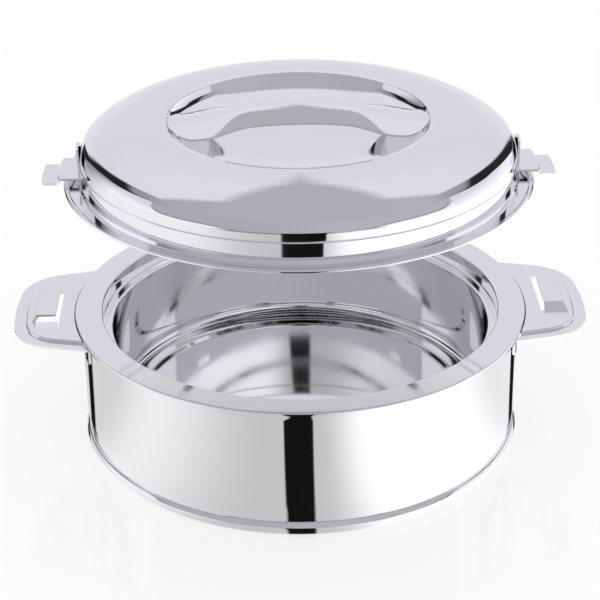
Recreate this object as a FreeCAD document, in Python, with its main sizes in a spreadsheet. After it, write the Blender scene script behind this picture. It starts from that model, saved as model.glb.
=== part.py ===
import FreeCAD, Part
import math
import os
from types import SimpleNamespace

import Sketcher
from FreeCAD import Placement, Rotation, Vector

# Insulated chapati casserole: a double-walled steel bowl with foam between its walls, two pressed side
# handles with lock pockets, and a domed double-skin lid that lifts off and twists to lock.
# Frame: millimetres, +Z up, origin on the table under the middle of the bowl, X through the side
# handles.  The lid is drawn about its own flange plane and held lid_raise above the rim, with its two
# lugs over the pockets that they lock into.

SIZES = {
    # bowl: overall
    "rim_radius": 125.0,
    "rim_height": 76.0,
    "casing_sheet": 0.7,
    "hem_drop": 2.1,
    "hem_clearance": 0.2,
    # outer shell
    "body_inset": 4.3,
    "flare_inset": 2.6,
    "flare_drop": 5.5,
    "flare_bend": 5.0,
    "crease_depth": 1.1,
    "crease_height": 9.9,
    "bead_inset": 0.1,
    "bead_height": 9.4,
    "waist_height": 20.0,
    "waist_bend": 30.0,
    "shell_floor_height": 4.2,
    "fill_dimple_radius": 18.0,
    "fill_dimple_rise": 2.4,
    "fill_hole_radius": 7.0,
    # inner pot
    "rim_width": 15.0,
    "ledge_drop": 9.4,
    "ledge_width": 5.5,
    "pot_floor_height": 14.0,
    "pot_ring_inset": 14.5,
    "pot_ring_rise": 2.0,
    "pot_corner": 7.0,
    # foam, bottom cover and filler plug
    "foam_clearance": 0.3,
    "foam_top_gap": 4.0,
    "cover_inset": 0.5,
    "foot_width": 16.7,
    "cover_recess_slope": 3.5,
    "plug_head_radius": 11.0,
    "plug_head_thickness": 1.6,
    "plug_clearance": 0.1,
    # side handles
    "handle_sheet": 1.2,
    "handle_projection": 33.5,
    "handle_root_half_width": 46.9,
    "handle_tip_half_width": 39.6,
    "handle_corner": 28.0,
    "handle_tip_bow": 2.8,
    "handle_tip_bow_radius": 140.0,
    "handle_drop": 1.0,
    "handle_step": 1.7,
    "handle_border": 6.5,
    "handle_gap": 0.4,
    "weld_flange_depth": 13.0,
    "weld_flange_gap": 0.3,
    "weld_flange_half_angle": 18.5,
    # lock pocket in each side handle
    "pocket_offset": 9.5,
    "pocket_width": 10.2,
    "pocket_wall_slope": 3.5,
    "pocket_entry": 18.0,
    "pocket_closed": 15.0,
    "pocket_end_slope": 6.5,
    "pocket_slot_margin": 1.8,
    "pocket_slot_length": 3.0,
    "lip_length": 5.5,
    "lip_rise": 1.5,
    # lid shell
    "lid_sheet": 0.7,
    "lid_flange_overhang": 1.0,
    "lid_flange_width": 10.7,
    "lid_wall_lean": 2.0,
    "lid_crease_height": 12.0,
    "lid_crease_bend": 1.5,
    "lid_shoulder_inset": 0.9,
    "lid_shoulder_height": 22.8,
    "lid_shoulder_bend": 9.0,
    "lid_brow_inset": 11.6,
    "lid_brow_height": 28.8,
    "lid_brow_bend": 30.0,
    "lid_crown_inset": 14.8,
    "lid_crown_height": 32.0,
    "lid_crown_bend": 50.0,
    "lid_ring_inset": 12.0,
    "lid_ring_height": 32.2,
    "lid_ring_bend": 8.0,
    "recess_lip_width": 3.6,
    "recess_lip_height": 31.4,
    "recess_wall_lean": 1.6,
    "recess_foot_height": 26.4,
    "recess_dish_width": 34.8,
    "recess_dish_bend": 180.0,
    "recess_floor_height": 17.6,
    # lid liner
    "liner_clearance": 0.8,
    "liner_depth": 7.5,
    "liner_ring_width": 39.2,
    "liner_panel_rise": 2.0,
    "liner_gap": 0.3,
    # lid handle
    "strap_sheet": 1.2,
    "strap_height": 39.7,
    "strap_end_height": 30.3,
    "strap_crown": 7.0,
    "strap_end_crown": 2.5,
    "strap_waist_half_width": 12.0,
    "strap_end_half_width": 22.0,
    "strap_nose_flat": 1.0,
    "strap_end_length": 20.8,
    "strap_flare_length": 22.0,
    # lock lugs
    "lug_sheet": 1.2,
    "lug_step_gap": 3.2,
    "lug_tip_length": 8.3,
    "lug_arm_rise": 2.9,
    "lug_width": 30.0,
    "lug_tip_width": 26.5,
    "lug_upright_height": 14.8,
    "lug_sweep": 20.0,
    "lug_clearance": 0.3,
    "weld_gap": 0.1,
    # the lid's place
    "lid_raise": 77.5,
    "lid_seat_clearance": 0.3,
}


class Size:
    """A length with its number and the spreadsheet expression that the document binds to."""

    def __init__(self, number, text):
        self.number = number
        self.text = text

    def __add__(self, other):
        other = as_size(other)
        return Size(self.number + other.number, f"({self.text} + {other.text})")

    def __sub__(self, other):
        other = as_size(other)
        return Size(self.number - other.number, f"({self.text} - {other.text})")

    def __mul__(self, other):
        other = as_size(other)
        return Size(self.number * other.number, f"({self.text} * {other.text})")

    def __truediv__(self, other):
        other = as_size(other)
        return Size(self.number / other.number, f"({self.text} / {other.text})")

    def __neg__(self):
        return Size(-self.number, f"(-{self.text})")


def as_size(value):
    return value if isinstance(value, Size) else Size(float(value), f"{value:g}")


ZERO = as_size(0)
PLANES = {
    "XY": Rotation(),
    "XZ": Rotation(Vector(1, 0, 0), 90),
    "YZ": Rotation(Vector(1, 1, 1), 120),
}

doc = FreeCAD.newDocument("chapati_casserole")
sheet = doc.addObject("Spreadsheet::Sheet", "sizes")
for row, (name, value) in enumerate(SIZES.items(), start=1):
    sheet.set(f"A{row}", name)
    sheet.set(f"B{row}", str(value))
    sheet.setAlias(f"B{row}", name)
doc.recompute()
s = SimpleNamespace(**{name: Size(value, f"sizes.{name}") for name, value in SIZES.items()})

# Radii and heights that keep with the rim: each is the one before it and a named distance.
s.body_radius = s.rim_radius - s.body_inset
s.flare_radius = s.rim_radius - s.flare_inset
s.flare_start = s.rim_height - s.flare_drop
s.crease_radius = s.body_radius - s.crease_depth
s.bead_radius = s.body_radius - s.bead_inset
s.neck_radius = s.rim_radius - s.rim_width
s.ledge_height = s.rim_height - s.ledge_drop
s.pot_radius = s.neck_radius - s.ledge_width
s.pot_ring_radius = s.pot_radius - s.pot_ring_inset
s.foam_top = s.rim_height - s.foam_top_gap
s.cover_radius = s.body_radius - s.cover_inset
s.cover_recess_radius = s.cover_radius - s.foot_width - s.cover_recess_slope
s.handle_inner_radius = s.rim_radius + s.handle_gap
s.handle_reach = s.rim_radius + s.handle_projection
s.pocket_inner = s.rim_radius + s.pocket_offset
s.pocket_outer = s.pocket_inner + s.pocket_width
s.pocket_slot_inner = s.pocket_inner - s.pocket_slot_margin
s.lid_flange_radius = s.rim_radius + s.lid_flange_overhang
s.lid_wall_foot_radius = s.lid_flange_radius - s.lid_flange_width
s.lid_crease_radius = s.lid_wall_foot_radius - s.lid_wall_lean
s.lid_shoulder_radius = s.lid_crease_radius - s.lid_shoulder_inset
s.lid_brow_radius = s.lid_shoulder_radius - s.lid_brow_inset
s.lid_crown_radius = s.lid_brow_radius - s.lid_crown_inset
s.lid_ring_radius = s.lid_crown_radius - s.lid_ring_inset
s.recess_radius = s.lid_ring_radius - s.recess_lip_width
s.recess_foot_radius = s.recess_radius - s.recess_wall_lean
s.recess_dish_radius = s.recess_foot_radius - s.recess_dish_width
s.liner_plug_radius = s.neck_radius - s.liner_clearance
s.liner_panel_radius = s.liner_plug_radius - s.liner_ring_width
s.strap_flare_end = s.recess_foot_radius - s.strap_end_length
s.strap_flare_start = s.strap_flare_end - s.strap_flare_length
s.strap_nose_radius = s.strap_end_half_width - s.strap_nose_flat
s.lug_step_radius = s.lid_flange_radius + s.lug_step_gap
s.lug_reach = s.lug_step_radius + s.lug_tip_length


# ---------------------------------------------------------------- drawing helpers


def bind(thing, path, size):
    thing.setExpression(path, as_size(size).text)


def free_sketch(name, plane, across=ZERO):
    """A sketch of its own, on a plane that stands `across` from the origin along its normal."""
    sketch = doc.addObject("Sketcher::SketchObject", name)
    sketch.Placement = Placement(Vector(), PLANES[plane])
    axis = {"XY": "z", "XZ": "y", "YZ": "x"}[plane]
    bind(sketch, f"Placement.Base.{axis}", across)
    return sketch


def body_sketch(body, name, plane, across=ZERO):
    """A sketch in a body, on one of its origin planes or parallel to it."""
    sketch = body.newObject("Sketcher::SketchObject", name)
    origin_plane = next(o for o in body.Origin.OriginFeatures if o.Role == f"{plane}_Plane")
    sketch.AttachmentSupport = (origin_plane, [""])
    sketch.MapMode = "FlatFace"
    bind(sketch, "AttachmentOffset.Base.z", across)
    return sketch


def pin_point(sketch, geometry, end, across, up):
    """Ties a point of the sketch to its two coordinates."""
    for kind, axis, size in (("DistanceX", -2, across), ("DistanceY", -1, up)):
        if size is ZERO:
            sketch.addConstraint(Sketcher.Constraint("PointOnObject", geometry, end, axis))
            continue
        index = sketch.addConstraint(Sketcher.Constraint(kind, -1, 1, geometry, end, size.number))
        bind(sketch, f"Constraints[{index}]", size)


def corner_arc(before, at, after, radius):
    """The arc that rounds a corner, and the two points where it meets the straight runs."""
    back = (before - at).normalize()
    ahead = (after - at).normalize()
    half_angle = back.getAngle(ahead) / 2
    run_in = at + back * (radius / math.tan(half_angle))
    run_out = at + ahead * (radius / math.tan(half_angle))
    middle_line = (back + ahead).normalize()
    middle = at + middle_line * (radius / math.sin(half_angle) - radius)
    return Part.Arc(run_in, middle, run_out), run_in, run_out


def draw(sketch, corners, closed=False):
    """Straight runs from corner to corner.  A corner is (across, up) or (across, up, radius)."""
    corners = [tuple(as_size(v) if not isinstance(v, Size) else v for v in c) for c in corners]
    corners = [tuple(ZERO if v.text == "0" else v for v in c) for c in corners]
    points = [Vector(c[0].number, c[1].number, 0) for c in corners]
    count = len(corners)
    entries, exits, arcs = list(points), list(points), {}
    for i, corner in enumerate(corners):
        if len(corner) == 3:
            found = corner_arc(points[i - 1], points[i], points[(i + 1) % count], corner[2].number)
            arcs[i], entries[i], exits[i] = found
    runs = count if closed else count - 1
    lines = [
        sketch.addGeometry(Part.LineSegment(exits[i], entries[(i + 1) % count]), False)
        for i in range(runs)
    ]
    for i, corner in enumerate(corners):
        line_in = lines[i - 1] if closed or i > 0 else None
        line_out = lines[i] if closed or i < runs else None
        if i not in arcs:
            if line_in is not None and line_out is not None:
                sketch.addConstraint(Sketcher.Constraint("Coincident", line_in, 2, line_out, 1))
            geometry, end = (line_out, 1) if line_out is not None else (line_in, 2)
            pin_point(sketch, geometry, end, corner[0], corner[1])
            continue
        tip = sketch.addGeometry(Part.Point(points[i]), True)
        pin_point(sketch, tip, 1, corner[0], corner[1])
        sketch.addConstraint(Sketcher.Constraint("PointOnObject", tip, 1, line_in))
        sketch.addConstraint(Sketcher.Constraint("PointOnObject", tip, 1, line_out))
        arc = sketch.addGeometry(arcs[i], False)
        starts_here = sketch.getPoint(arc, 1).isEqual(entries[i], 1e-6)
        first, last = (1, 2) if starts_here else (2, 1)
        sketch.addConstraint(Sketcher.Constraint("Tangent", line_in, 2, arc, first))
        sketch.addConstraint(Sketcher.Constraint("Tangent", arc, last, line_out, 1))
        index = sketch.addConstraint(Sketcher.Constraint("Radius", arc, corner[2].number))
        bind(sketch, f"Constraints[{index}]", corner[2])
    return sketch


def draw_circle(sketch, radius):
    """A circle about the sketch's origin."""
    circle = sketch.addGeometry(Part.Circle(Vector(), Vector(0, 0, 1), radius.number), False)
    sketch.addConstraint(Sketcher.Constraint("Coincident", circle, 3, -1, 1))
    index = sketch.addConstraint(Sketcher.Constraint("Radius", circle, radius.number))
    bind(sketch, f"Constraints[{index}]", radius)
    return sketch


def spin(name, source, angle=None):
    """Turns a flat outline about the Z axis into a solid."""
    turned = doc.addObject("Part::Revolution", name)
    turned.Source = source
    turned.Axis = Vector(0, 0, 1)
    turned.Base = Vector()
    turned.Solid = True
    turned.Angle = 360
    if angle is not None:
        turned.Symmetric = True
        bind(turned, "Angle", angle)
    return turned


def pressed(name, corners, thickness, angle=None):
    """Sheet metal drawn as the line of its seen side; a negative thickness lies right of the line."""
    line = draw(free_sketch(f"{name}_line", "XZ"), corners)
    strip = doc.addObject("Part::Offset2D", f"{name}_strip")
    strip.Source = line
    strip.Mode = "Skin"
    strip.Join = "Intersection"
    strip.Fill = True
    strip.Value = thickness.number
    bind(strip, "Value", thickness)
    return spin(name, strip, angle)


def extruded(name, sketch, length):
    """A straight extrusion along the sketch's normal, half each way."""
    block = doc.addObject("Part::Extrusion", name)
    block.Base = sketch
    block.DirMode = "Normal"
    block.Solid = True
    block.Symmetric = True
    bind(block, "LengthFwd", length)
    return block


def common(name, shapes):
    """What all the shapes share."""
    shared = doc.addObject("Part::MultiCommon", name)
    shared.Shapes = shapes
    return shared


nodes = []


def sub_part(thing, name):
    """Names a finished piece; its label becomes its file's name."""
    thing.Label = name
    nodes.append(thing)
    return thing


# ---------------------------------------------------------------- bowl


def inner_pot():
    """The food bowl, the neck the lid plugs into, and the flat rim hemmed over the outer shell."""
    ring_foot = s.pot_ring_radius + 2.5
    floor_ring = s.pot_floor_height + s.pot_ring_rise
    corners = [
        (ZERO, s.pot_floor_height),
        (s.pot_ring_radius, s.pot_floor_height, 1.5),
        (ring_foot, floor_ring, 1.5),
        (s.pot_radius, floor_ring, s.pot_corner),
        (s.pot_radius, s.ledge_height, 1.6),
        (s.neck_radius, s.ledge_height, 1.0),
        (s.neck_radius, s.rim_height, 1.2),
        (s.rim_radius, s.rim_height, 0.9),
        (s.rim_radius, s.rim_height - s.hem_drop),
    ]
    return sub_part(pressed("inner_pot", corners, -s.casing_sheet), "inner_pot")


def outer_shell():
    """The deep-drawn outer casing: floor with a foam-filling hole, bead, wall, flare and flange."""
    flange_height = s.rim_height - s.casing_sheet * 2
    dimple_height = s.shell_floor_height + s.fill_dimple_rise
    corners = [
        (s.fill_hole_radius, dimple_height),
        (s.fill_dimple_radius, dimple_height, 1.2),
        (s.fill_dimple_radius + s.fill_dimple_rise, s.shell_floor_height, 1.2),
        (s.bead_radius, s.shell_floor_height, 1.8),
        (s.bead_radius, s.bead_height, 0.8),
        (s.crease_radius, s.crease_height, 0.4),
        (s.body_radius, s.waist_height, s.waist_bend),
        (s.body_radius, s.flare_start, s.flare_bend),
        (s.flare_radius, flange_height, 1.5),
        (s.rim_radius - s.casing_sheet - s.hem_clearance, flange_height),
    ]
    return sub_part(pressed("outer_shell", corners, s.casing_sheet), "outer_shell")


def bottom_cover():
    """The pan under the bowl that covers the filled hole and carries the foot ring."""
    recess = s.shell_floor_height - s.casing_sheet
    corners = [
        (ZERO, recess),
        (s.cover_recess_radius, recess, 2.0),
        (s.cover_recess_radius + s.cover_recess_slope, ZERO, 2.0),
        (s.cover_radius, ZERO, 2.0),
        (s.cover_radius, s.shell_floor_height),
    ]
    return sub_part(pressed("bottom_cover", corners, s.casing_sheet), "bottom_cover")


def body_insulation():
    """Foam that fills the space between pot and shell."""
    gap = s.foam_clearance
    inside_shell = s.body_radius - s.casing_sheet - gap
    inside_crease = s.crease_radius - s.casing_sheet - gap
    base = s.shell_floor_height + s.casing_sheet + gap
    dimple_edge = s.fill_dimple_radius + s.fill_dimple_rise + gap * 2
    around_pot = s.pot_radius + s.casing_sheet + gap
    corners = [
        (ZERO, base + s.fill_dimple_rise),
        (dimple_edge, base + s.fill_dimple_rise),
        (dimple_edge + s.fill_dimple_rise, base),
        (inside_crease - 1.5, base),
        (inside_crease, base + 1.5),
        (inside_crease, s.crease_height + 1.5),
        (inside_shell, s.waist_height),
        (inside_shell, s.foam_top),
        (s.neck_radius + s.casing_sheet + gap, s.foam_top),
        (s.neck_radius + s.casing_sheet + gap, s.ledge_height - s.casing_sheet - gap),
        (around_pot, s.ledge_height - s.casing_sheet - gap),
        (around_pot, s.pot_floor_height + s.pot_ring_rise - s.casing_sheet - gap),
        (s.pot_ring_radius + 4.0, s.pot_floor_height + s.pot_ring_rise - s.casing_sheet - gap),
        (s.pot_ring_radius + 1.5, s.pot_floor_height - s.casing_sheet - gap),
        (ZERO, s.pot_floor_height - s.casing_sheet - gap),
    ]
    section = draw(free_sketch("body_insulation_section", "XZ"), corners, closed=True)
    return sub_part(spin("body_insulation", section), "body_insulation")


def filler_plug():
    """The plug that closes the foam-filling hole, in its dimple above the cover."""
    under = s.shell_floor_height + s.fill_dimple_rise
    stem = s.fill_hole_radius - s.plug_clearance
    corners = [
        (ZERO, under - s.plug_head_thickness),
        (s.plug_head_radius, under - s.plug_head_thickness, 0.6),
        (s.plug_head_radius, under),
        (stem, under),
        (stem, under + s.casing_sheet),
        (ZERO, under + s.casing_sheet),
    ]
    section = draw(free_sketch("filler_plug_section", "XZ"), corners, closed=True)
    return sub_part(spin("filler_plug", section), "filler_plug")


# ---------------------------------------------------------------- side handles


def pad(body, sketch, length):
    feature = body.newObject("PartDesign::Pad", f"{sketch.Name}_pad")
    feature.Profile = sketch
    bind(feature, "Length", length)
    return feature


def pocket(body, sketch, length, upward):
    """Cuts by `length` from the sketch, up or down, and makes sure that something was cut."""
    doc.recompute()
    before = body.Shape.Volume
    feature = body.newObject("PartDesign::Pocket", f"{sketch.Name}_cut")
    feature.Profile = sketch
    feature.Reversed = upward
    bind(feature, "Length", length)
    doc.recompute()
    if not body.Shape.Volume < before:
        raise RuntimeError(f"{sketch.Name} cuts nothing")
    return feature


def loft(body, kind, sketches):
    """A straight-sided loft from the first sketch to the second."""
    feature = body.newObject(f"PartDesign::{kind}", f"{sketches[0].Name}_loft")
    feature.Profile = sketches[0]
    feature.Sections = sketches[1:]
    feature.Ruled = True
    return feature


def handle_outline(inset):
    """The plate's tapered outline with its bowed end, drawn from inside the bowl, `inset` inwards."""
    slope = (s.handle_root_half_width - s.handle_tip_half_width) / (
        s.handle_reach - s.handle_inner_radius
    )
    start = s.handle_inner_radius - 15
    root = s.handle_root_half_width + slope * 15 - inset
    tip = s.handle_tip_half_width - inset + slope * inset
    reach = s.handle_reach - inset
    shoulder = reach - s.handle_tip_bow * tip / s.handle_tip_half_width
    corner = s.handle_corner - inset
    return [
        (start, -root),
        (shoulder, -tip, corner),
        (reach, ZERO, s.handle_tip_bow_radius - inset),
        (shoulder, tip, corner),
        (start, root),
    ]


def rectangle(x_low, x_high, y_low, y_high):
    return [(x_low, y_low), (x_high, y_low), (x_high, y_high), (x_low, y_high)]


def side_handle(name, turn):
    """One pressed handle: stepped plate, lanced lock pocket, the lip before it, and weld flange."""
    body = doc.addObject("PartDesign::Body", name)
    thick = s.handle_sheet
    plateau = s.rim_height - s.handle_drop
    border = plateau - s.handle_step
    underside = border - thick
    roof = plateau + s.lip_rise + s.lug_sheet + s.lug_clearance * 2 + thick

    plate = draw(body_sketch(body, f"{name}_plate", "XY", underside), handle_outline(ZERO), True)
    pad(body, plate, thick)
    raised = draw(
        body_sketch(body, f"{name}_plateau", "XY", underside), handle_outline(s.handle_border), True
    )
    pad(body, raised, thick + s.handle_step)
    doc.recompute()
    top_edges = [
        f"Edge{i}"
        for i, edge in enumerate(body.Shape.Edges, start=1)
        if min(v.Z for v in edge.Vertexes) > plateau.number - 0.01
        and edge.BoundBox.XMax > s.handle_inner_radius.number
    ]
    stepped_plate = body.Tip
    soft = body.newObject("PartDesign::Fillet", f"{name}_soft_step")
    soft.Base = (stepped_plate, top_edges)
    bind(soft, "Radius", s.handle_step * 0.7)
    hollow = draw(
        body_sketch(body, f"{name}_hollow", "XY", underside),
        handle_outline(s.handle_border + thick),
        True,
    )
    pocket(body, hollow, s.handle_step, upward=True)

    roof_outer = s.pocket_outer
    wall_outer = s.pocket_outer + s.pocket_wall_slope
    closed_foot = -s.pocket_closed - s.pocket_end_slope
    bump_low = draw(
        body_sketch(body, f"{name}_pocket_foot", "XY", underside + s.handle_step),
        rectangle(s.pocket_inner, wall_outer, closed_foot, s.pocket_entry),
        True,
    )
    bump_high = draw(
        body_sketch(body, f"{name}_pocket_roof", "XY", roof),
        rectangle(s.pocket_inner, roof_outer, -s.pocket_closed, s.pocket_entry),
        True,
    )
    loft(body, "AdditiveLoft", [bump_low, bump_high])
    lip_edge = s.pocket_entry + s.pocket_slot_length
    lip_foot = lip_edge + s.lip_length
    lance_low = draw(
        body_sketch(body, f"{name}_lance_foot", "XY", underside),
        rectangle(s.pocket_slot_inner, wall_outer - thick, closed_foot + thick, s.pocket_entry + 1),
        True,
    )
    lance_high = draw(
        body_sketch(body, f"{name}_lance_roof", "XY", roof - thick),
        rectangle(s.pocket_slot_inner, roof_outer - thick, thick - s.pocket_closed, s.pocket_entry + 1),
        True,
    )
    loft(body, "SubtractiveLoft", [lance_low, lance_high])
    entry = draw(
        body_sketch(body, f"{name}_entry", "XY", plateau + 1),
        rectangle(s.pocket_slot_inner, s.pocket_outer + 1, s.pocket_entry, lip_foot),
        True,
    )
    pocket(body, entry, thick + s.handle_step + 1, upward=False)
    lip = draw(
        body_sketch(body, f"{name}_lip", "YZ", s.pocket_slot_inner + 0.6),
        [
            (lip_foot + 0.8, plateau),
            (lip_foot, plateau),
            (lip_edge, plateau + s.lip_rise),
            (lip_edge, plateau + s.lip_rise - thick),
            (lip_foot, plateau - thick),
            (lip_foot + 0.8, plateau - thick),
        ],
        True,
    )
    pad(body, lip, s.pocket_outer - s.pocket_slot_inner - 0.2)

    mouth = draw_circle(body_sketch(body, f"{name}_mouth", "XY", plateau + 5), s.handle_inner_radius)
    pocket(body, mouth, s.handle_step + thick + 5, upward=False)
    flange_face = s.body_radius + s.weld_flange_gap
    flange_top = s.flare_start - 4
    flange_low = underside - s.weld_flange_depth
    flange = draw(
        body_sketch(body, f"{name}_weld_flange", "XZ"),
        [
            (flange_face, flange_low, 0.5),
            (flange_face + thick, flange_low, 0.5),
            (flange_face + thick, flange_top, 1.5),
            (s.handle_inner_radius + 2, plateau - thick),
            (s.handle_inner_radius + 2, plateau),
            (s.handle_inner_radius, plateau),
            (s.handle_inner_radius, s.rim_height - s.hem_drop - s.weld_flange_gap),
            (flange_face, flange_top + 0.6, 1.5),
        ],
        True,
    )
    weld = body.newObject("PartDesign::Revolution", f"{name}_weld_turn")
    weld.Profile = flange
    weld.ReferenceAxis = (
        next(o for o in body.Origin.OriginFeatures if o.Role == "Z_Axis"),
        [""],
    )
    weld.Midplane = True
    bind(weld, "Angle", s.weld_flange_half_angle * 2)
    body.Placement = Placement(Vector(), Rotation(Vector(0, 0, 1), turn))
    return sub_part(body, name)


# ---------------------------------------------------------------- lid


def lid_place(thing):
    """Lifts a lid piece, drawn about the lid's flange plane, to where the lid is held off the bowl."""
    bind(thing, "Placement.Base.z", s.rim_height + s.lid_raise)
    return thing


def lid_shell():
    """The lid's domed skin: recess, crown, shoulder, creased wall and the flange on the rim."""
    corners = [
        (ZERO, s.recess_floor_height),
        (s.recess_dish_radius, s.recess_floor_height, s.recess_dish_bend),
        (s.recess_foot_radius, s.recess_foot_height, 3.0),
        (s.recess_radius, s.recess_lip_height, 1.2),
        (s.lid_ring_radius, s.lid_ring_height, s.lid_ring_bend),
        (s.lid_crown_radius, s.lid_crown_height, s.lid_crown_bend),
        (s.lid_brow_radius, s.lid_brow_height, s.lid_brow_bend),
        (s.lid_shoulder_radius, s.lid_shoulder_height, s.lid_shoulder_bend),
        (s.lid_crease_radius, s.lid_crease_height, s.lid_crease_bend),
        (s.lid_wall_foot_radius, s.lid_sheet, 1.0),
        (s.lid_flange_radius, s.lid_sheet),
    ]
    return sub_part(lid_place(pressed("lid_shell", corners, -s.lid_sheet)), "lid_shell")


def lid_liner():
    """The lid's lower skin, a shallow pan that plugs into the pot's neck."""
    plug = s.liner_plug_radius
    edge = s.lid_wall_foot_radius - s.lid_sheet - s.liner_gap
    panel = s.liner_panel_rise - s.liner_depth
    corners = [
        (ZERO, panel),
        (s.liner_panel_radius, panel, 2.0),
        (s.liner_panel_radius + s.liner_panel_rise * 2, -s.liner_depth, 2.0),
        (plug, -s.liner_depth, 3.0),
        (plug, ZERO, 0.8),
        (edge, ZERO),
    ]
    return sub_part(lid_place(pressed("lid_liner", corners, s.lid_sheet)), "lid_liner")


def strap_section(name, x, half_width, height, crown):
    """One crowned cross-section of the strap, an arch of sheet with square edges."""
    sketch = free_sketch(name, "YZ", x)
    thick = s.strap_sheet
    arcs = []
    for drop in (ZERO, thick):
        left = Vector(-half_width.number, (height - crown - drop).number, 0)
        top = Vector(0, (height - drop).number, 0)
        right = Vector(half_width.number, (height - crown - drop).number, 0)
        arc = sketch.addGeometry(Part.Arc(left, top, right), False)
        first, last = (1, 2) if sketch.getPoint(arc, 1).x < 0 else (2, 1)
        pin_point(sketch, arc, first, -half_width, height - crown - drop)
        pin_point(sketch, arc, last, half_width, height - crown - drop)
        crest = sketch.addGeometry(Part.Point(top), True)
        pin_point(sketch, crest, 1, ZERO, height - drop)
        sketch.addConstraint(Sketcher.Constraint("PointOnObject", crest, 1, arc))
        arcs.append((arc, first, last))
    (upper, upper_left, upper_right), (lower, lower_left, lower_right) = arcs
    for up_end, low_end in ((upper_left, lower_left), (upper_right, lower_right)):
        edge = sketch.addGeometry(
            Part.LineSegment(sketch.getPoint(upper, up_end), sketch.getPoint(lower, low_end)), False
        )
        sketch.addConstraint(Sketcher.Constraint("Coincident", edge, 1, upper, up_end))
        sketch.addConstraint(Sketcher.Constraint("Coincident", edge, 2, lower, low_end))
    return sketch


def lid_handle():
    """The crowned strap that bridges the recess, narrow in the middle with a round nose each end."""
    middle = (s.strap_flare_start + s.strap_flare_end) / 2
    middle_half = (s.strap_waist_half_width + s.strap_end_half_width) / 2
    fall = s.strap_height - s.strap_end_height
    crown_fall = s.strap_crown - s.strap_end_crown
    stations = [
        (s.recess_radius, s.strap_end_half_width, s.strap_end_height, s.strap_end_crown),
        (
            s.strap_flare_end,
            s.strap_end_half_width,
            s.strap_height - fall * 0.635,
            s.strap_crown - crown_fall * 0.53,
        ),
        (middle, middle_half, s.strap_height - fall * 0.365, s.strap_crown - crown_fall * 0.25),
        (s.strap_flare_start, s.strap_waist_half_width, s.strap_height - fall * 0.14, s.strap_crown),
        (
            s.strap_flare_start / 2,
            s.strap_waist_half_width,
            s.strap_height - fall * 0.03,
            s.strap_crown,
        ),
    ]
    centre = [(ZERO, s.strap_waist_half_width, s.strap_height, s.strap_crown)]
    mirrored = [(-x, half, top, crown) for x, half, top, crown in reversed(stations)]
    arch = doc.addObject("Part::Loft", "strap_arch")
    arch.Sections = [
        strap_section(f"strap_section_{i}", *station)
        for i, station in enumerate(stations + centre + mirrored)
    ]
    arch.Solid = True
    arch.MaxDegree = 3
    half = s.strap_end_half_width + 0.01
    below_lip = s.recess_lip_height - s.strap_end_height + s.strap_sheet
    wall_slope = s.recess_wall_lean / (s.recess_lip_height - s.recess_foot_height)
    reach = s.recess_radius - wall_slope * below_lip - s.weld_gap
    plan = [
        (-reach, -half, s.strap_nose_radius),
        (reach, -half, s.strap_nose_radius),
        (reach, half, s.strap_nose_radius),
        (-reach, half, s.strap_nose_radius),
    ]
    outline = draw(free_sketch("strap_outline", "XY"), plan, True)
    block = extruded("strap_block", outline, s.strap_height * 4)
    return sub_part(lid_place(common("lid_handle", [arch, block])), "lid_handle")


def lock_lug(name, side):
    """A bent tab on the lid's wall: upright, arm over the flange, step down and tip."""
    thick = s.lug_sheet
    lean = s.lid_wall_lean / (s.lid_crease_height - s.lid_sheet)
    upper_lean = s.lid_shoulder_inset / (s.lid_shoulder_height - s.lid_crease_height)
    stand_off = s.weld_gap + thick
    arm = s.lid_sheet + s.lug_arm_rise + thick
    tip = s.lug_clearance + thick + s.lip_rise - s.handle_drop - s.lid_seat_clearance
    top = s.lug_upright_height
    corners = [
        (s.lid_crease_radius + stand_off - upper_lean * (top - s.lid_crease_height), top),
        (s.lid_crease_radius + stand_off, s.lid_crease_height),
        (s.lid_wall_foot_radius + stand_off - lean * (arm - s.lid_sheet), arm, 0.5),
        (s.lug_step_radius - 0.4, arm, 1.4),
        (s.lug_step_radius, tip, 0.5),
        (s.lug_reach, tip),
    ]
    strip = pressed(f"{name}_strip_turned", corners, -thick, s.lug_sweep)
    start = s.lid_crease_radius - 10
    half = s.lug_width / 2
    tip_half = s.lug_tip_width / 2
    plan = [
        (start, -half),
        (s.lug_step_radius - thick - 1, -half, 0.8),
        (s.lug_step_radius, -tip_half, 0.8),
        (s.lug_reach, -tip_half, 2.0),
        (s.lug_reach, tip_half, 2.0),
        (s.lug_step_radius, tip_half, 0.8),
        (s.lug_step_radius - thick - 1, half, 0.8),
        (start, half),
    ]
    plan_block = extruded(
        f"{name}_plan_block", draw(free_sketch(f"{name}_plan", "XY"), plan, True), s.rim_height
    )
    face = [
        (-half, tip - thick * 2),
        (half, tip - thick * 2),
        (half, top, s.lug_width * 0.45),
        (-half, top, s.lug_width * 0.45),
    ]
    face_block = extruded(
        f"{name}_face_block", draw(free_sketch(f"{name}_face", "YZ"), face, True), s.rim_radius * 3
    )
    tab = common(f"{name}_tab", [strip, plan_block, face_block])
    tab.Placement = Placement(Vector(), Rotation(Vector(0, 0, 1), side))
    return sub_part(lid_place(common(name, [tab, tab])), name)


inner_pot()
outer_shell()
bottom_cover()
body_insulation()
filler_plug()
for handle_name, turn in (("right_handle", 0), ("left_handle", 180)):
    side_handle(handle_name, turn)
lid_shell()
lid_liner()
lid_handle()
for lug_name, side in (("right_lock_lug", 0), ("left_lock_lug", 180)):
    lock_lug(lug_name, side)

doc.recompute()
for thing in doc.Objects:
    if "Invalid" in thing.State or "Error" in thing.State:
        raise RuntimeError(f"{thing.Name} failed: {thing.State}")
for node in nodes:
    if node.Shape.isNull() or not node.Shape.isValid() or not node.Shape.Solids:
        raise RuntimeError(f"{node.Label} has no valid solid")

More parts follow.
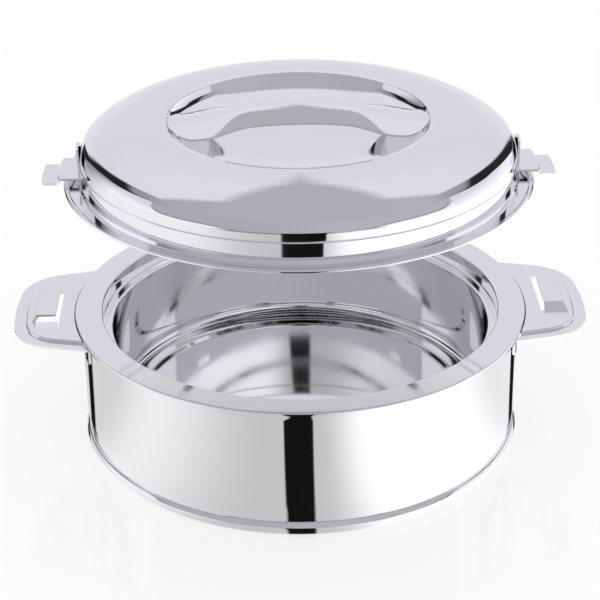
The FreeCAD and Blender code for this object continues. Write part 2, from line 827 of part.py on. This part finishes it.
os.makedirs("parts", exist_ok=True)
for node in nodes:
    node.Shape.exportStep(f"parts/{node.Label}.step")
    print(f"{node.Label:16} solids {len(node.Shape.Solids)}  volume {node.Shape.Volume / 1000:8.2f} cm3")
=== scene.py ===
# %% [markdown]
# # Insulated chapati casserole
# A flatbread keeper pressed from polished steel sheet: a double-walled bowl with two pressed side
# handles, and a domed lid with a strap handle, held above the bowl.  This notebook dresses the packed
# solids: it spins fresh, finely divided sheets for everything that is round, softens copies of the
# pressed pieces, and sets a bright studio round them, because polished steel is made of what it
# reflects.

# %% Load the frame
import math

import bmesh
import bpy
from mathutils import Matrix, Vector


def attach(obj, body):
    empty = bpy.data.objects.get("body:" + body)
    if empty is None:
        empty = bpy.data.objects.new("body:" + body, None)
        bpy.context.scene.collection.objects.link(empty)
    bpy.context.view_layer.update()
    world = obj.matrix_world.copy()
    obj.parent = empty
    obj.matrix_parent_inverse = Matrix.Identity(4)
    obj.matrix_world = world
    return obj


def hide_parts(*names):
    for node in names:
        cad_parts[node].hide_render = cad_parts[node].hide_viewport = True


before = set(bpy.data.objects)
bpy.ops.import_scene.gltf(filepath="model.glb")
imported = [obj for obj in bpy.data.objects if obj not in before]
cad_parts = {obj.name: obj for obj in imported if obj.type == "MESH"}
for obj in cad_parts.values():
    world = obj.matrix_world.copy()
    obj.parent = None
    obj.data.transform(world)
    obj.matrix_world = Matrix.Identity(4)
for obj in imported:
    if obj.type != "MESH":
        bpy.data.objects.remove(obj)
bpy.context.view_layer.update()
MM = 0.001
deg = math.radians
RIM_HEIGHT = 76.0
LID_RAISE = 77.5
LID_PLANE = RIM_HEIGHT + LID_RAISE

# %% [markdown]
# ## The camera
# The bowl is seen from the front and well above, with a long lens from about a metre, so that its
# ellipses stay calm.  The camera goes first, because reflections are judged from where it stands.

# %% Camera
LENS_MM = 107.4
CAMERA_DISTANCE = 1.0
CAMERA_AZIMUTH = deg(-1.5)
CAMERA_ELEVATION = deg(26.8)
CAMERA_ROLL = deg(-0.57)
CLIP_NEAR, CLIP_FAR = 0.05, 50

target = Vector((0, 0, RIM_HEIGHT * MM))
towards_camera = Vector(
    (
        math.sin(CAMERA_AZIMUTH) * math.cos(CAMERA_ELEVATION),
        -math.cos(CAMERA_AZIMUTH) * math.cos(CAMERA_ELEVATION),
        math.sin(CAMERA_ELEVATION),
    )
)
camera_data = bpy.data.cameras.new("camera")
camera_data.lens = LENS_MM
camera_data.clip_start, camera_data.clip_end = CLIP_NEAR, CLIP_FAR
camera = bpy.data.objects.new("camera", camera_data)
bpy.context.scene.collection.objects.link(camera)
aim = (-towards_camera).to_track_quat("-Z", "Y").to_matrix().to_4x4()
camera.matrix_world = (
    Matrix.Translation(target + towards_camera * CAMERA_DISTANCE)
    @ aim
    @ Matrix.Rotation(CAMERA_ROLL, 4, "Z")
)
bpy.context.scene.camera = camera
bpy.context.scene.view_settings.view_transform = "Standard"

# %% [markdown]
# ## Shader maths as Python
# A node tree grows quickly, so one small class wraps a socket: adding or multiplying two of them adds
# the Math node, and `node` makes any other node from its type, its settings and its sockets.


# %% Shader helper
X, Y, Z = 0, 1, 2
GENERATED, OBJECT_COORDINATES = 0, 3
GLOSSY_RAY = 3


class Socket:
    """A value in a node tree that Python's own operators work on."""

    def __init__(self, tree, socket):
        self.tree = tree
        self.socket = socket

    def node(self, kind, settings=None, output=0, **inputs):
        made = self.tree.nodes.new(kind)
        for name, value in (settings or {}).items():
            setattr(made, name, value)
        for name, value in inputs.items():
            place = made.inputs[int(name[1:])] if name[0] == "i" and name[1:].isdigit() else None
            place = place or made.inputs[name.replace("_", " ")]
            if isinstance(value, Socket):
                self.tree.links.new(value.socket, place)
            else:
                place.default_value = value
        return Socket(self.tree, made.outputs[output]) if made.outputs else None

    def math(self, operation, *others, clamp=False):
        inputs = {f"i{i}": value for i, value in enumerate((self, *others))}
        return self.node("ShaderNodeMath", {"operation": operation, "use_clamp": clamp}, **inputs)

    def axis(self, index):
        """One coordinate of a vector."""
        return self.node("ShaderNodeSeparateXYZ", output=index, Vector=self)

    def __add__(self, other):
        return self.math("ADD", other)

    __radd__ = __add__

    def __sub__(self, other):
        return self.math("SUBTRACT", other)

    def __rsub__(self, other):
        return (self * -1) + other

    def __mul__(self, other):
        return self.math("MULTIPLY", other)

    __rmul__ = __mul__

    def ramp(self, low, high, start=0.0, end=1.0):
        """Smoothly from start at low to end at high."""
        settings = {"interpolation_type": "SMOOTHSTEP"}
        return self.node("ShaderNodeMapRange", settings, i0=self, i1=low, i2=high, i3=start, i4=end)

    def ramps(self, *limits):
        """The sum of several ramps."""
        total = self.ramp(*limits[0])
        for more in limits[1:]:
            total = total + self.ramp(*more)
        return total

    def band(self, low, high, soft):
        """1 between low and high, falling to 0 over a soft edge on each side."""
        return self.ramp(low - soft, low) * self.ramp(high, high + soft, 1.0, 0.0)


def new_tree(name):
    """A material with an empty tree, and a socket to start expressions from."""
    material = bpy.data.materials.new(name)
    material.use_nodes = True
    material.node_tree.nodes.clear()
    return material, Socket(material.node_tree, None)


def object_place(start):
    return start.node("ShaderNodeTexCoord", output=OBJECT_COORDINATES)


def for_steel(start, seen, mirrored, where=None):
    """`seen` to the eye and `mirrored` to polished steel, the latter only inside `where`."""
    ray = start.node("ShaderNodeLightPath", output=GLOSSY_RAY)
    share = ray if where is None else ray * where
    return start.node("ShaderNodeMixShader", Fac=share, i1=seen, i2=mirrored)


def finish_material(material, start, shader):
    start.node("ShaderNodeOutputMaterial", Surface=shader)
    return material


# %% [markdown]
# ## Polished steel
# Buffed stainless steel is a mirror with three small faults: its sheet is never quite flat, so long
# reflections wander; the buffing wheel leaves hair-fine lines; and handling leaves faint hazy areas.
# The first two are bumps of very different size, the third a small change of roughness.


# %% Steel finishes
WANDER_SCALE = 9.0
WANDER_DEPTH = 0.001
HAIR_STRETCH = (60.0, 60.0, 2600.0)
HAIR_DEPTH = 0.00001
HAIR_STRENGTH = 0.15
HAZE_SCALE = 42.0
HAZE_CONTRAST = (0.35, 0.7)
HAZE_ROUGHNESS = 0.03


def polished_steel(name, tint, roughness, wander):
    material, start = new_tree(name)
    place = object_place(start)
    slow = start.node("ShaderNodeTexNoise", Vector=place, Scale=WANDER_SCALE, Detail=1.0)
    cloud = start.node("ShaderNodeTexNoise", Vector=place, Scale=HAZE_SCALE, Detail=3.0)
    hair_place = start.node("ShaderNodeMapping", Vector=place, Scale=HAIR_STRETCH)
    hair = start.node("ShaderNodeTexNoise", Vector=hair_place, Scale=1.0, Detail=2.0)
    sheet = start.node("ShaderNodeBump", Height=slow, Strength=wander, Distance=WANDER_DEPTH)
    surface = start.node(
        "ShaderNodeBump", Height=hair, Strength=HAIR_STRENGTH, Distance=HAIR_DEPTH, Normal=sheet
    )
    steel = start.node(
        "ShaderNodeBsdfPrincipled",
        Base_Color=(*tint, 1.0),
        Metallic=1.0,
        Roughness=cloud.ramp(*HAZE_CONTRAST, roughness, roughness + HAZE_ROUGHNESS),
        Normal=surface,
    )
    return finish_material(material, start, steel)


STEEL_TINT = (0.86, 0.86, 0.875)
LID_TINT = (0.85, 0.85, 0.875)
body_steel = polished_steel("body_steel", STEEL_TINT, roughness=0.035, wander=0.10)
pot_steel = polished_steel("pot_steel", STEEL_TINT, roughness=0.05, wander=0.16)
lid_steel = polished_steel("lid_steel", LID_TINT, roughness=0.04, wander=0.08)
fitting_steel = polished_steel("fitting_steel", STEEL_TINT, roughness=0.06, wander=0.25)

# %% [markdown]
# ## Spun sheets
# Every round piece of the casserole is drawn from a disc, so a section line turned about the axis is
# how it is really made.  The corners of the line are rounded by a vertex bevel, the line is spun, and
# a Solidify modifier gives the sheet its thickness.

# %% Spinning helper
AROUND = 224
SHEET = 0.7
SEAM = 1e-6
BEND_SEGMENTS = 6
NORMAL_WEIGHT = 90


def tangent_length(before, at, after, radius):
    """How far from a corner its rounding starts."""
    turn = math.pi - (Vector(before) - Vector(at)).angle(Vector(after) - Vector(at))
    return radius * math.tan(turn / 2)


def section_line(bm, corners, lift, segments):
    """A rounded line in the XZ plane from corners (radius from the axis, height, rounding), in mm."""
    points = [bm.verts.new((c[0] * MM, 0, (c[1] + lift) * MM)) for c in corners]
    for a, b in zip(points, points[1:]):
        bm.edges.new((a, b))
    for i in range(1, len(corners) - 1):
        if len(corners[i]) == 3:
            run = tangent_length(corners[i - 1][:2], corners[i][:2], corners[i + 1][:2], corners[i][2])
            bmesh.ops.bevel(
                bm,
                geom=[points[i]],
                offset=run * MM,
                offset_type="OFFSET",
                affect="VERTICES",
                segments=segments,
                profile=0.5,
                material=-1,
            )


def show(bm, name, material, body, slot, *nodes):
    """Makes a mesh a piece that rides on a body and stands for its CAD nodes."""
    mesh = bpy.data.meshes.new(name)
    bm.to_mesh(mesh)
    bm.free()
    piece = bpy.data.objects.new(name, mesh)
    bpy.context.scene.collection.objects.link(piece)
    mesh.materials.append(material)
    mesh.shade_smooth()
    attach(piece, body)
    if nodes:
        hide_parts(*nodes)
    print(name, len(mesh.polygons), "faces")
    return piece


def add_modifier(piece, kind, **settings):
    modifier = piece.modifiers.new(kind.lower(), kind)
    for name, value in settings.items():
        setattr(modifier, name, value)
    return modifier


def spun_sheet(name, corners, material, body, slot, node, lift=0.0, side=-1, segments=BEND_SEGMENTS):
    """side is +1 where the sheet's thickness lies on the side that the faces point to."""
    bm = bmesh.new()
    section_line(bm, corners, lift, segments)
    bmesh.ops.spin(
        bm,
        geom=bm.verts[:] + bm.edges[:],
        cent=(0, 0, 0),
        axis=(0, 0, 1),
        dvec=(0, 0, 0),
        angle=math.tau,
        steps=AROUND,
        use_merge=True,
        use_normal_flip=False,
        use_duplicate=False,
    )
    bmesh.ops.remove_doubles(bm, verts=bm.verts, dist=SEAM)
    bmesh.ops.recalc_face_normals(bm, faces=bm.faces)
    piece = show(bm, name, material, body, slot, node)
    add_modifier(piece, "SOLIDIFY", thickness=SHEET * MM, offset=side, use_even_offset=True)
    add_modifier(piece, "WEIGHTED_NORMAL", weight=NORMAL_WEIGHT)
    return piece


# %% [markdown]
# ## The bowl
# The food bowl has a ring pressed in its floor, a ledge below the neck that the lid's liner reaches
# down to, and a flat rim whose edge is folded over the outer casing.

# %% Food bowl
POT_LINE = [
    (0.0, 14.0),
    (60.0, 14.0),
    (90.0, 14.0, 1.5),
    (92.5, 16.0, 1.5),
    (104.5, 16.0, 7.0),
    (104.5, 66.6, 1.6),
    (110.0, 66.6, 1.0),
    (110.0, 76.0, 1.2),
    (125.0, 76.0, 0.9),
    (125.0, 73.9),
]
food_bowl = spun_sheet("food_bowl", POT_LINE, pot_steel, "base", "steel_pot", "inner_pot")

# %% [markdown]
# ## The casing
# The outer casing flares out under the rim and ends in a crease and a rounded bead near the table,
# which stiffen the thin wall.

# %% Casing and foot
CASING_LINE = [
    (7.0, 6.6),
    (18.0, 6.6, 1.2),
    (20.4, 4.2, 1.2),
    (120.6, 3.6, 1.2),
    (122.4, 4.6, 1.6),
    (120.9, 7.2, 1.4),
    (119.5, 7.8, 0.4),
    (120.7, 18.0, 30.0),
    (120.7, 70.5, 5.0),
    (122.4, 74.6, 1.5),
    (124.1, 74.6),
]
casing = spun_sheet("casing", CASING_LINE, body_steel, "base", "steel_body", "outer_shell")
FOOT_LINE = [
    (0.0, 3.5),
    (100.0, 3.5, 2.0),
    (103.5, 0.0, 2.0),
    (120.2, 0.0, 2.0),
    (120.2, 4.2),
]
foot_cover = spun_sheet("foot_cover", FOOT_LINE, body_steel, "base", "steel_body", "bottom_cover")

# %% [markdown]
# ## The lid
# The lid's skin runs from a round recess over a soft crown to a shoulder, then down a nearly upright
# wall with two fine creases to the flange that sits on the bowl's rim.  Each bend of the crown begins
# where the one before it ends, because reflections show every flat run between bends.  The wall could
# be bevelled from a plain cylinder, but a turned line keeps its creases true all the way round.

# %% Lid skins
LID_LINE = [
    (0.0, 17.6),
    (34.0, 17.6, 180.0),
    (66.8, 24.8, 13.0),
    (70.4, 31.4, 1.0),
    (74.0, 32.2, 8.0),
    (84.0, 31.9, 188.0),
    (102.4, 29.9, 40.0),
    (115.9, 20.0, 9.0),
    (116.7, 12.4, 0.3),
    (116.4, 12.0, 0.2),
    (116.8, 11.6, 0.3),
    (117.2, 3.3, 0.3),
    (116.9, 2.9, 0.2),
    (117.3, 2.5, 0.3),
    (118.0, 0.8, 0.5),
    (123.4, 0.8, 0.6),
    (124.2, 1.5, 0.5),
    (125.4, 1.5, 0.5),
    (126.0, 0.4),
]
LID_BEND_SEGMENTS = 10
lid_skin = spun_sheet(
    "lid_skin",
    LID_LINE,
    lid_steel,
    "lid",
    "steel_lid",
    "lid_shell",
    lift=LID_PLANE,
    segments=LID_BEND_SEGMENTS,
)
LINER_LINE = [
    (0.0, -5.5),
    (70.0, -5.5, 2.0),
    (74.0, -7.5, 2.0),
    (109.2, -7.5, 3.0),
    (109.2, 0.0, 0.8),
    (116.0, 0.0),
]
liner = spun_sheet(
    "liner", LINER_LINE, pot_steel, "lid_core", "steel_pot", "lid_liner", lift=LID_PLANE, side=1
)

# %% [markdown]
# ## Pressed fittings
# The side handles, the strap and the lugs are stamped from thicker strip.  Their solids are already
# right, but a stamped edge is never razor sharp: a copy of each is merged, its flat areas are joined,
# and its edges are rounded by a narrow bevel, which catches the light.


# %% Softened copies
EDGE_ROUND = 0.28
EDGE_SEGMENTS = 3
EDGE_ANGLE = deg(24)
FLAT_ANGLE = deg(0.5)
CORNER_GAP = 2e-6


def softened(node, name, body, slot, shape=None):
    """A rounded copy of a solid; `shape` may first bend its mesh."""
    bm = bmesh.new()
    bm.from_mesh(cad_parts[node].data)
    bmesh.ops.remove_doubles(bm, verts=bm.verts, dist=CORNER_GAP)
    bmesh.ops.dissolve_limit(
        bm,
        angle_limit=FLAT_ANGLE,
        verts=bm.verts,
        edges=bm.edges,
        use_dissolve_boundaries=False,
    )
    if shape:
        shape(bm)
    piece = show(bm, name, fitting_steel, body, slot, node)
    add_modifier(
        piece,
        "BEVEL",
        width=EDGE_ROUND * MM,
        segments=EDGE_SEGMENTS,
        limit_method="ANGLE",
        angle_limit=EDGE_ANGLE,
        miter_outer="MITER_ARC",
        harden_normals=False,
    )
    add_modifier(piece, "WEIGHTED_NORMAL", weight=NORMAL_WEIGHT)
    return piece


for side in ("left", "right"):
    softened(f"{side}_handle", f"{side}_grip", "base", "steel_fittings")
softened("lid_handle", "strap", "lid", "steel_fittings")

# %% [markdown]
# Each lug's upright leaf lies on the lid's wall, which is drawn a little wider here than in the
# solids.  One shear leans the leaf out to the wall and draws it taller before the copy is softened.
# Moving its vertices one by one would do the same, but a shear keeps the leaf flat.  The tips, which
# turn in under the handles' pockets, keep their places.

# %% Lugs
LEAF_LIMIT = 118.0
LEAF_FOOT = 5.0
LEAF_SHIFT = 1.9
LEAF_LEAN = 0.236
LEAF_STRETCH = 0.36


def lean_leaf(bm, way):
    """way is -1 for the left lug and +1 for the right one."""
    foot = (LID_PLANE + LEAF_FOOT) * MM
    leaf = [v for v in bm.verts if abs(v.co.x) < LEAF_LIMIT * MM]
    upper = [v for v in leaf if v.co.z > foot]
    shear = Matrix.Identity(4)
    shear[0][2], shear[0][3] = way * LEAF_LEAN, -way * LEAF_LEAN * foot
    shear[2][2], shear[2][3] = 1 + LEAF_STRETCH, -LEAF_STRETCH * foot
    bmesh.ops.transform(bm, matrix=shear, verts=upper)
    bmesh.ops.translate(bm, verts=leaf, vec=(way * LEAF_SHIFT * MM, 0, 0))


for side, way in (("left", -1), ("right", 1)):
    softened(
        f"{side}_lock_lug", f"{side}_lug", "lid", "steel_fittings", shape=lambda bm: lean_leaf(bm, way)
    )

# %% [markdown]
# ## Hidden pieces
# The foam and its plug are sealed between the walls.  They keep their solids and get plain finishes.


# %% Foam and plug
FOAM_YELLOW = (0.86, 0.76, 0.50, 1.0)
FOAM_ROUGHNESS = 0.85
FOAM_CELLS = 900.0
FOAM_DEPTH = 0.0004
PLUG_BLACK = (0.02, 0.02, 0.02, 1.0)
PLUG_GRAIN = 1400.0
PLUG_ROUGHNESS = (0.3, 0.7, 0.45, 0.6)


def foam_finish():
    material, start = new_tree("foam")
    cells = start.node("ShaderNodeTexVoronoi", Vector=object_place(start), Scale=FOAM_CELLS)
    foam = start.node(
        "ShaderNodeBsdfPrincipled",
        Base_Color=FOAM_YELLOW,
        Roughness=FOAM_ROUGHNESS,
        Normal=start.node("ShaderNodeBump", Height=cells, Strength=0.5, Distance=FOAM_DEPTH),
    )
    return finish_material(material, start, foam)


def plug_finish():
    material, start = new_tree("plug_plastic")
    place = object_place(start)
    grain = start.node("ShaderNodeTexNoise", Vector=place, Scale=PLUG_GRAIN, Detail=2.0)
    plastic = start.node(
        "ShaderNodeBsdfPrincipled",
        Base_Color=PLUG_BLACK,
        Roughness=grain.ramp(*PLUG_ROUGHNESS),
    )
    return finish_material(material, start, plastic)


for node, material in (("body_insulation", foam_finish()), ("filler_plug", plug_finish())):
    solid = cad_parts[node]
    solid.data.materials.clear()
    solid.data.materials.append(material)

# %% [markdown]
# ## The studio
# A mirror has no colour of its own, so half of this picture is what stands round it.  To the eye the
# tent and the floor are plain white.  The steel mirrors something else, and Light Path tells the two
# kinds of ray apart: a tent with a grey ceiling and a lilac-white panel, a floor with soft shades, and
# black card on that floor, a tapering strip towards the front and a narrow one on each side.  Real
# lamps and cards would do the same, but each would have to be hidden from the eye on its own.
#
# Every shade is a ramp: from, to, value before, value after.  Turns are angles from the front, seen
# from above, and reaches are distances from the casserole's axis in metres.


# %% Floor
WHITE = (1.0, 1.0, 1.0, 1.0)
FLOOR_HALF = 6.0
FLOOR_DROP = 0.0002
FLOOR_MATTE = (0.9, 0.9, 0.9, 1.0)
FLOOR_GLOW = 1.05
FLOOR_GLOW_SHARE = 0.72
FLOOR_GLOSS_SHARE = 0.06
FLOOR_GLOSS_ROUGHNESS = 0.10
FLOOR_MIRRORED = (0.985, 0.985, 1.0, 1.0)

# Black card.  A side of the front strip is: distance from the middle, lean, extra lean farther out.
CARD_BLACK = 0.99
CARD_EDGE = 0.0012
CARD_START = 0.120
CARD_SPREAD = 0.248
CARD_LEFT = (-0.0105, -0.200, 0.0166)
CARD_RIGHT = (0.0043, 0.066, 0.1816)
CARD_NEAR_END = (-0.02, -0.01)
SIDE_CARD_START = 0.1305
SIDE_CARD_SLOPE = 0.479
SIDE_CARD_WIDTH = 0.012
SIDE_CARD_TAPER = 0.258
SIDE_CARD_END = (-0.03, -0.01)

LEFT_SHADE = (deg(-60), deg(-14), 0.0, 0.36)
LEFT_SHADE_END = (deg(6), deg(28), 1.0, 0.0)
RIGHT_LIGHT = (deg(4), deg(20), 0.0, 0.25)
RIGHT_LIGHT_END = (deg(125), deg(165), 1.0, 0.0)
FAR_FRONT_REACH = (0.95, 1.05)
FAR_FRONT_TURN = (deg(46), deg(34))
FAR_FRONT_SHADE = 0.6
FAR_BACK_REACH = (0.8, 1.1)
FAR_BACK_TURN = (deg(125), deg(145))
FAR_BACK_SHADE = 0.13
LEFT_BACK_SHADE = (deg(-105), deg(-140), 0.0, 0.5)
RIGHT_BACK_SHADE = (deg(122), deg(138), 0.0, 0.3)
BACK_SHADE_END = (deg(143), deg(153), 1.0, 0.0)
SIDE_REACH = (0.25, 0.40, 1.0, 0.0)
SIDE_SHADE = (deg(60), deg(88), 0.0, 0.25)


def bent_line(way, start, slope, extra):
    """A line that starts at `start`, leans by `slope`, and by `extra` more beyond CARD_SPREAD."""
    beyond = (way - (CARD_SPREAD - CARD_START)).math("MAXIMUM", 0.0)
    return way * slope + start + beyond * extra


def black_card(across, back):
    """1 on the black card that lies on the floor."""
    ahead = -CARD_START - back
    inside_left = (across - bent_line(ahead, *CARD_LEFT)).ramp(-CARD_EDGE, CARD_EDGE)
    inside_right = (bent_line(ahead, *CARD_RIGHT) - across).ramp(-CARD_EDGE, CARD_EDGE)
    front_strip = inside_left * inside_right * ahead.ramp(*CARD_NEAR_END)
    side = across.math("ABSOLUTE") - SIDE_CARD_START - back * SIDE_CARD_SLOPE
    width = back * SIDE_CARD_TAPER + SIDE_CARD_WIDTH
    side_strip = side.ramp(-CARD_EDGE, CARD_EDGE) * (width - side).ramp(-CARD_EDGE, CARD_EDGE)
    side_strip = side_strip * back.ramp(*SIDE_CARD_END)
    return front_strip.math("MAXIMUM", side_strip)


def floor_level(across, back):
    """How bright the steel finds the floor, without its black card."""
    turn = across.math("ARCTAN2", back * -1)
    away = turn.math("ABSOLUTE")
    reach = (across * across + back * back).math("SQRT")
    left_shade = turn.ramp(*LEFT_SHADE) * turn.ramp(*LEFT_SHADE_END)
    right_light = turn.ramp(*RIGHT_LIGHT) * turn.ramp(*RIGHT_LIGHT_END)
    far_front = reach.ramp(*FAR_FRONT_REACH) * away.ramp(*FAR_FRONT_TURN)
    far_back = reach.ramp(*FAR_BACK_REACH) * away.ramp(*FAR_BACK_TURN)
    behind = turn.ramps(LEFT_BACK_SHADE, RIGHT_BACK_SHADE) * away.ramp(*BACK_SHADE_END)
    beside = reach.ramp(*SIDE_REACH) * away.ramp(*SIDE_SHADE)
    level = 1.0 - left_shade + right_light
    level = level * (1.0 - far_front * FAR_FRONT_SHADE) * (1.0 - far_back * FAR_BACK_SHADE)
    return level * (1.0 - behind) * (1.0 - beside)


def floor_finish():
    material, start = new_tree("studio_floor")
    place = object_place(start)
    across, back = place.axis(X), place.axis(Y)
    matte = start.node("ShaderNodeBsdfDiffuse", Color=FLOOR_MATTE)
    gloss = start.node("ShaderNodeBsdfAnisotropic", Color=WHITE, Roughness=FLOOR_GLOSS_ROUGHNESS)
    bright = start.node("ShaderNodeEmission", Color=WHITE, Strength=FLOOR_GLOW)
    seen = start.node("ShaderNodeMixShader", Fac=FLOOR_GLOW_SHARE, i1=matte, i2=bright)
    seen = start.node("ShaderNodeMixShader", Fac=FLOOR_GLOSS_SHARE, i1=seen, i2=gloss)
    level = floor_level(across, back) * (1.0 - black_card(across, back) * CARD_BLACK)
    mirrored = start.node("ShaderNodeEmission", Color=FLOOR_MIRRORED, Strength=level)
    return finish_material(material, start, for_steel(start, seen, mirrored))


def studio_plane(name, half, height, material):
    bm = bmesh.new()
    bmesh.ops.create_grid(bm, x_segments=1, y_segments=1, size=half)
    mesh = bpy.data.meshes.new(name)
    bm.to_mesh(mesh)
    bm.free()
    mesh.materials.append(material)
    plane = bpy.data.objects.new(name, mesh)
    plane.location.z = height
    bpy.context.scene.collection.objects.link(plane)
    print(name, "half width", half)
    return plane


floor = studio_plane("studio_floor", FLOOR_HALF, -FLOOR_DROP, floor_finish())

# %% [markdown]
# One grey card hangs low over the lid, cut to a point.  Only the steel sees it: it gives the front of
# the crown its soft grey peak.  A grey patch in the tent could give the same peak, but would also fill
# the recess with grey, and because the card is near, the recess behind it still mirrors the tent.

# %% Hanging card
LILAC_WHITE = (0.925, 0.935, 1.0, 1.0)
CARD_HEIGHT = 0.284
CARD_HALF = 0.16
CARD_TIP = 0.105
CARD_SLOPE = 0.33
CARD_SHIFT = 0.003
CARD_SOFT = 0.009
CARD_GREY = 0.52
FLARE_START = 0.02
FLARE_SLOPE = 0.45


def card_finish():
    material, start = new_tree("grey_card")
    place = object_place(start)
    across, back = place.axis(X), place.axis(Y)
    flare = (back * -1 - FLARE_START).math("MAXIMUM", 0.0) * FLARE_SLOPE
    half = (CARD_TIP - back) * CARD_SLOPE + flare
    inside = (half - (across - CARD_SHIFT).math("ABSOLUTE")).ramp(-CARD_SOFT, CARD_SOFT * 2)
    clear = start.node("ShaderNodeBsdfTransparent")
    grey = start.node("ShaderNodeEmission", Color=LILAC_WHITE, Strength=CARD_GREY)
    return finish_material(material, start, for_steel(start, clear, grey, inside))


card = studio_plane("grey_card", CARD_HALF, CARD_HEIGHT, card_finish())

# %% [markdown]
# The tent is worked out from the direction that the steel looks in.  A lilac-white panel leans over
# from the back.  The canopy is grey, with two dark gaps at the back, one on each side of the panel,
# and it ends in a dark line above the bright sweep that rises from the floor.

# %% World
PANEL_LEAN = 0.833
PANEL_SPREAD = 1.617
PANEL_EDGE = (0.02, 0.08)
PANEL_FRONT_LEAN = 0.34
PANEL_FRONT_EDGE = (-0.05, 0.05)
PANEL_LEVELS = ((deg(5), deg(16), 0.88, 0.83), (deg(24), deg(45), 0.0, 0.06))
CANOPY_LEVEL = (-0.35, 0.35, 0.50, 0.55)
GAP_RISES = ((deg(37), deg(41), 0.65, 0.0), (deg(40), deg(56), 0.33, 0.0))
GAP_TURN = (deg(112), deg(152), deg(26))
GAP_END = (deg(153), deg(158), 1.0, 0.0)
GAP_SHADE = 0.98
SWEEP_TOPS = (
    (deg(20), deg(50), deg(-12), deg(8)),
    (deg(72), deg(98), 0.0, deg(31)),
    (deg(98), deg(128), 0.0, deg(-12)),
    (deg(128), deg(146), 0.0, deg(-28)),
)
SWEEP_EDGE = (deg(-1.5), deg(1.5), 1.0, 0.0)
SWEEP_LEVEL = (deg(4), deg(28), 1.1, 0.85)
SWEEP_LEFT = (-0.3, -0.1, 1.0, 0.0)
SWEEP_LEFT_FADE = (deg(106), deg(143), 0.0, 0.8)
LINE_RISE = (0.0, deg(3), deg(4))
LINE_TURN = (deg(90), deg(70))
LINE_SHADE = 0.45


def tent_level(way):
    """How bright the steel finds the tent in a direction."""
    way_x, way_y, way_z = way.axis(X), way.axis(Y), way.axis(Z)
    turn = way_x.math("ARCTAN2", way_y * -1).math("ABSOLUTE")
    rise = way_z.math("ARCSINE")

    beside = way_x.math("ABSOLUTE")
    panel_sides = (way_z + way_y * PANEL_LEAN - beside * PANEL_SPREAD).ramp(*PANEL_EDGE)
    panel = panel_sides * (way_y - way_z * PANEL_FRONT_LEAN).ramp(*PANEL_FRONT_EDGE)

    above = rise - turn.ramps(*SWEEP_TOPS)
    gap = rise.ramps(*GAP_RISES) * turn.band(*GAP_TURN) * turn.ramp(*GAP_END)
    dark_line = above.band(*LINE_RISE) * turn.ramp(*LINE_TURN)
    canopy_level = way_x.ramp(*CANOPY_LEVEL) * (1.0 - gap * GAP_SHADE)
    canopy_level = canopy_level * (1.0 - dark_line * LINE_SHADE)

    sweep = above.ramp(*SWEEP_EDGE)
    left_fade = way_x.ramp(*SWEEP_LEFT) * turn.ramp(*SWEEP_LEFT_FADE)
    sweep_level = rise.ramp(*SWEEP_LEVEL) - left_fade
    canopy_level = canopy_level * (1.0 - sweep) + sweep * sweep_level
    return rise.ramps(*PANEL_LEVELS) * panel + canopy_level * (1.0 - panel)


world = bpy.data.worlds.new("studio")
bpy.context.scene.world = world
world.use_nodes = True
world.node_tree.nodes.clear()
sky = Socket(world.node_tree, None)
level = tent_level(sky.node("ShaderNodeTexCoord", output=GENERATED))
tent_seen = sky.node("ShaderNodeBackground", Color=WHITE, Strength=1.0)
tent_mirrored = sky.node("ShaderNodeBackground", Color=LILAC_WHITE, Strength=level)
sky.node("ShaderNodeOutputWorld", Surface=for_steel(sky, tent_seen, tent_mirrored))
print("tent nodes", len(world.node_tree.nodes))
